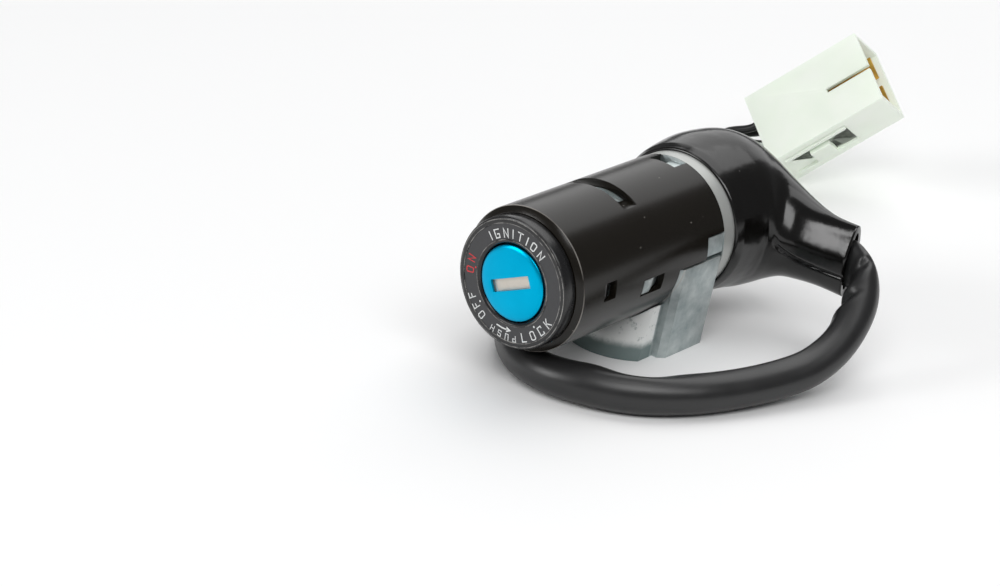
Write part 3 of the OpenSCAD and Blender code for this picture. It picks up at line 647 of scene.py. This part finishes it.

# Cover
# The black tube round the barrel, injection-moulded in ABS and snapped on through its windows.
# Its skin is smooth with a satin gloss and dusty in places; a thin pale line along its front edge is a
# painted highlight, broken up like wear.
cover_outside, cover_inside, cover_front = 15.5, 13.8, -41.2
cover = node_copy("cover_tube", "cover", 0.14 * MM)
turned(cover, (cover_outside, cover_inside))
cover_abs, tree, shader, spot = material("moulded_abs", IOR=1.52, Specular_IOR_Level=0.3)
cloud = add(tree, "ShaderNodeTexNoise", {"Vector": spot, "Scale": 1 / (10 * MM), "Detail": 4.0})
dusty = specks(tree, spot, spacing=2.2 * MM, reach=0.06, share=0.26)
axes = add(tree, "ShaderNodeSeparateXYZ", {"Vector": spot})
# Painted highlight: a thin pale line along the front edge, broken up in patches like wear.
rim = add(tree, "ShaderNodeMath", {
    0: axes.outputs["Y"], 1: cover_front * MM, 2: 0.1 * MM}, operation="COMPARE")
part = add(tree, "ShaderNodeMapRange", {"Value": cloud.outputs["Fac"], "From Min": 0.3, "From Max": 0.7})
edge_highlight_and_wear = add(tree, "ShaderNodeMath", {
    0: rim.outputs["Value"], 1: part.outputs["Result"]}, operation="MULTIPLY")
pale = add(tree, "ShaderNodeMath", {0: edge_highlight_and_wear.outputs["Value"], 1: dusty}, operation="MAXIMUM")
tinted(tree, shader, pale.outputs["Value"], "#15120d", "#8f8b86")
hazed(tree, shader, cloud.outputs["Fac"], glossy=0.2, dull=0.28)
grained(tree, shader, spot, size=0.6 * MM, strength=0.05, depth=0.08 * MM)
cover.data.materials.append(cover_abs)
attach(cover, "housing")
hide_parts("cover")

# Bezel and label
# The front ring, moulded in the same black with a polished lip, and the flat label let into it.
# Thin pale lines on the lip's edges are painted highlights, broken up like wear.
lip_edges = (9.2, 12.65, 13.5)
bezel = node_copy("bezel_ring", "bezel", 0.12 * MM)
bezel_abs, tree, shader, spot = material("polished_abs", IOR=1.52)
reach = axis_reach(tree, spot)
# Painted highlights: thin pale rings at the lip's edges, broken up in patches like wear.
lines = [add(tree, "ShaderNodeMath", {0: reach, 1: edge * MM, 2: 0.09 * MM}, operation="COMPARE")
         for edge in lip_edges]
worn = lines[0]
for line in lines[1:]:
    worn = add(tree, "ShaderNodeMath", {
        0: worn.outputs["Value"], 1: line.outputs["Value"]}, operation="MAXIMUM")
patch = add(tree, "ShaderNodeTexNoise", {
    "Vector": spot, "Scale": 1 / (2.5 * MM), "Detail": 5.0, "Roughness": 0.7})
part = add(tree, "ShaderNodeMapRange", {"Value": patch.outputs["Fac"], "From Min": 0.4, "From Max": 0.62})
edge_highlight_and_wear = add(tree, "ShaderNodeMath", {
    0: worn.outputs["Value"], 1: part.outputs["Result"]}, operation="MULTIPLY")
tinted(tree, shader, edge_highlight_and_wear.outputs["Value"], "#151516", "#8f8d8a")
cloud = add(tree, "ShaderNodeTexNoise", {"Vector": spot, "Scale": 1 / (4 * MM), "Detail": 3.0})
hazed(tree, shader, cloud.outputs["Fac"], glossy=0.2, dull=0.34)
grained(tree, shader, spot, size=0.5 * MM, strength=0.06, depth=0.08 * MM)
bezel.data.materials.append(bezel_abs)
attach(bezel, "housing")
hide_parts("bezel")

# Printed film: charcoal and matt, with a fine even grain.
label_film, tree, shader, spot = material("printed_film", IOR=1.5)
cloud = mottled(tree, shader, spot, 0.4 * MM, "#2f2f31", "#3b3b3d", detail=3.0)
hazed(tree, shader, cloud, glossy=0.42, dull=0.55)
dress("label_ring", label_film)

# Printed words
# White and red ink on the label: plain block letters of one stroke width, index dots and the
# arrow that says push before turning to LOCK.
label_face = -45.38
ink_height = 0.04
# Each letter's width in heights, and the lines that draw it in a unit box.
letters = {
    "I": (0.0, [[(0, 0), (0, 1)]]),
    "G": (0.62, [[(1, 1), (0, 1), (0, 0), (1, 0), (1, 0.45), (0.55, 0.45)]]),
    "N": (0.62, [[(0, 0), (0, 1), (1, 0), (1, 1)]]),
    "T": (0.66, [[(0, 1), (1, 1)], [(0.5, 1), (0.5, 0)]]),
    "O": (0.62, [[(0.2, 0), (0, 0.12), (0, 0.88), (0.2, 1), (0.8, 1), (1, 0.88), (1, 0.12), (0.8, 0),
                  (0.2, 0)]]),
    "F": (0.56, [[(0, 0), (0, 1), (1, 1)], [(0, 0.52), (0.8, 0.52)]]),
    "P": (0.58, [[(0, 0), (0, 1), (1, 1), (1, 0.48), (0, 0.48)]]),
    "U": (0.62, [[(0, 1), (0, 0), (1, 0), (1, 1)]]),
    "S": (0.6, [[(1, 0.86), (1, 1), (0, 1), (0, 0.52), (1, 0.48), (1, 0), (0, 0), (0, 0.14)]]),
    "H": (0.62, [[(0, 0), (0, 1)], [(1, 0), (1, 1)], [(0, 0.5), (1, 0.5)]]),
    "L": (0.56, [[(0, 1), (0, 0), (1, 0)]]),
    "C": (0.62, [[(1, 0.8), (1, 1), (0, 1), (0, 0), (1, 0), (1, 0.2)]]),
    "K": (0.6, [[(0, 0), (0, 1)], [(1, 1), (0.05, 0.45)], [(0.3, 0.62), (1, 0)]])}


def on_label(clock, radius, height):
    """The place on the label at a clock angle in degrees, a radius and a height, both in mm."""
    a = math.radians(clock)
    return Vector((radius * math.sin(a), label_face - height, axis_height + radius * math.cos(a))) * MM


def stroke(work, line, width, spot_of):
    """A mitred ribbon of ink along a line of flat points, raised by the ink's height."""
    mitre_limit, sharpest, nothing = 2.2, 0.2, 1e-6
    p = [Vector(q) for q in line]
    looped = (p[0] - p[-1]).length < nothing and len(p) > 2
    if looped:
        p = p[:-1]
    n = len(p)
    sides = [], []
    for i in range(n):
        before = p[i] - p[i - 1] if looped or i > 0 else p[1] - p[0]
        after = p[(i + 1) % n] - p[i] if looped or i < n - 1 else before
        a, b = before.normalized(), after.normalized()
        normal = Vector((-(a + b).y, (a + b).x))
        normal = normal.normalized() if normal.length > nothing else Vector((-a.y, a.x))
        spread = min(mitre_limit, 1 / max(sharpest, normal.dot(Vector((-a.y, a.x)))))
        end = a * (width / 2) * ((i == n - 1) - (i == 0)) if not looped else Vector((0, 0))
        sides[0].append(p[i] + end + normal * spread * width / 2)
        sides[1].append(p[i] + end - normal * spread * width / 2)
    low, top = ([[work.verts.new(spot_of(q, height)) for q in side] for side in sides]
                for height in (0.0, ink_height))
    for i in range(n if looped else n - 1):
        j = (i + 1) % n
        work.faces.new((top[0][i], top[0][j], top[1][j], top[1][i]))
        work.faces.new((low[0][i], low[0][j], top[0][j], top[0][i]))
        work.faces.new((top[1][i], top[1][j], low[1][j], low[1][i]))
    if not looped:
        for i in (0, n - 1):
            work.faces.new((low[0][i], top[0][i], top[1][i], low[1][i]))


def word(work, text, clock, radius, size, gap, width, outward=True):
    """Letters along an arc, centred on a clock angle; outward puts their tops to the rim."""
    widths = [letters[c][0] * size for c in text]
    at = -(sum(widths) + gap * (len(text) - 1)) / 2
    sign = 1 if outward else -1
    for c, wide in zip(text, widths):
        for line in letters[c][1]:
            flat = [(at + x * wide, (y - 0.5) * size) for x, y in line]
            stroke(work, flat, width, lambda q, h: on_label(
                clock + sign * math.degrees(q.x / radius), radius + sign * q.y, h))
        at += wide + gap


def dot(work, clock, radius, size):
    middle = on_label(clock, radius, ink_height)
    angles = [2 * math.pi * k / 16 for k in range(16)]
    ring = [middle + Vector((math.cos(t), 0, math.sin(t))) * size * MM for t in angles]
    work.faces.new([work.verts.new(point) for point in ring])


def ink(name, dark, light):
    """Screen-printed ink: flat and matt, in two close tones where it is worn thin."""
    made, tree, shader, spot = material(name, Roughness=0.5)
    thin = add(tree, "ShaderNodeTexNoise", {"Vector": spot, "Scale": 1 / (0.35 * MM), "Detail": 3.0})
    tinted(tree, shader, thin.outputs["Fac"], dark, light)
    return made


def printed(name, work, finish):
    bmesh.ops.recalc_face_normals(work, faces=work.faces)
    mesh = bpy.data.meshes.new(name)
    work.to_mesh(mesh)
    work.free()
    mesh.materials.append(finish)
    made = place(bpy.data.objects.new(name, mesh))
    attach(made, "housing")


arrow_shaft = [(196, 10.4), (188, 10.35), (180, 10.3)]
arrow_head = [(181.5, 9.6), (174.5, 10.25), (181.5, 10.9)]
white = bmesh.new()
word(white, "IGNITION", clock=2.2, radius=10.6, size=1.75, gap=1.32, width=0.24)
word(white, "OFF", clock=228.2, radius=11.6, size=1.7, gap=1.3, width=0.22)
word(white, "PUSH", clock=185, radius=11.85, size=1.25, gap=1.22, width=0.16)
word(white, "LOCK", clock=138, radius=11.4, size=1.75, gap=1.52, width=0.23, outward=False)
dot(white, clock=230, radius=10.1, size=0.22)
dot(white, clock=137.5, radius=9.9, size=0.22)
stroke(white, arrow_shaft, 0.3, lambda q, h: on_label(q.x, q.y, h))
white.faces.new([white.verts.new(on_label(clock, radius, ink_height)) for clock, radius in arrow_head])
printed("label_white", white, ink("white_ink", "#cfd1d1", "#e6e8e7"))
red = bmesh.new()
word(red, "ON", clock=274.2, radius=11.05, size=1.75, gap=1.48, width=0.22)
dot(red, clock=272.4, radius=9.65, size=0.2)
printed("label_red", red, ink("red_ink", "#c4232b", "#d83a3f"))

# Cap
# A thin aluminium cap pressed over the plug's head, domed and slotted. It is anodised: clear blue
# metal with a fine satin grain.
cap = node_copy("cap_shell", "key_cap", 0.1 * MM)
cap_blue, tree, shader, spot = material("blue_anodised", Metallic=1.0, Roughness=0.34)
mottled(tree, shader, spot, 6 * MM, "#00a4d0", "#00b3de", detail=2.0)
grained(tree, shader, spot, size=0.25 * MM, strength=0.06, depth=0.05 * MM)
cap.data.materials.append(cap_blue)
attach(cap, "plug")
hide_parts("key_cap")

# Shutter
# The sprung dust flap behind the cap's slot, hinged on a pin. It is stamped from bright steel
# sheet: pale, with a warm soft sheen.
flap, tree, shader, spot = material("stamped_steel", Metallic=0.7, Roughness=0.42)
mottled(tree, shader, spot, 1.2 * MM, "#c8bfb4", "#d9d1c6")
dress("shutter", flap)

# Steel pieces
# Lock bolt, pins, springs, balls and screws: turned, wound and headed from plain steel, then zinc
# plated, which leaves them bright with a cloudy gloss.
plated, tree, shader, spot = material("plated_steel", Metallic=1.0)
cloud = mottled(tree, shader, spot, 2.5 * MM, "#a9adb0", "#d2d5d6")
hazed(tree, shader, cloud, glossy=0.2, dull=0.36)
for node in ("shutter_pin", "shutter_spring", "wafer_springs", "lock_bolt", "contact_springs",
             "detent_balls", "detent_springs", "base_screws"):
    dress(node, plated)

# Retaining plate
# The horseshoe that keeps the plug in, slid into the plug's groove under the cover's top slot. It is
# stamped steel, left dull and dark by phosphating.
dark_steel, tree, shader, spot = material("phosphated_steel", Metallic=1.0, Roughness=0.45)
mottled(tree, shader, spot, 1.2 * MM, "#2c2d2f", "#55575a")
dress("retaining_plate", dark_steel)

# Push spring
# The plated steel coil between the plug and the cam, which lifts the plug out again. Pushing the
# plug in would press it flatter against the cam; here it keeps the shape it is drawn with.
coil_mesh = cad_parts["push_spring"].data.copy()
work = bmesh.new()
work.from_mesh(coil_mesh)
bmesh.ops.remove_doubles(work, verts=work.verts, dist=0.001 * MM)
work.to_mesh(coil_mesh)
work.free()
coil_mesh.materials.clear()
coil_mesh.materials.append(plated)
push_coil = place(bpy.data.objects.new("push_coil", coil_mesh))
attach(push_coil, "rotor")
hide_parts("push_spring")
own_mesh(push_coil)

# Brass pieces
# Lock plug, wafers and contacts, turned and stamped from the same brass as the terminals. They lie
# inside, where only the plug can be seen past the open flap.
for node in ("plug", "wafers", "contact_bridge", "fixed_contacts"):
    dress(node, brass)

# Contact carrier and base
# The turning carrier, moulded in the connector's natural nylon, and the fixed base, pressed in
# phenolic resin: dark brown and matt, with a fine filler in it.
dress("contact_carrier", nylon)
phenolic, tree, shader, spot = material("phenolic_resin", Roughness=0.5)
mottled(tree, shader, spot, 0.8 * MM, "#2a2019", "#3c3027")
dress("contact_base", phenolic)
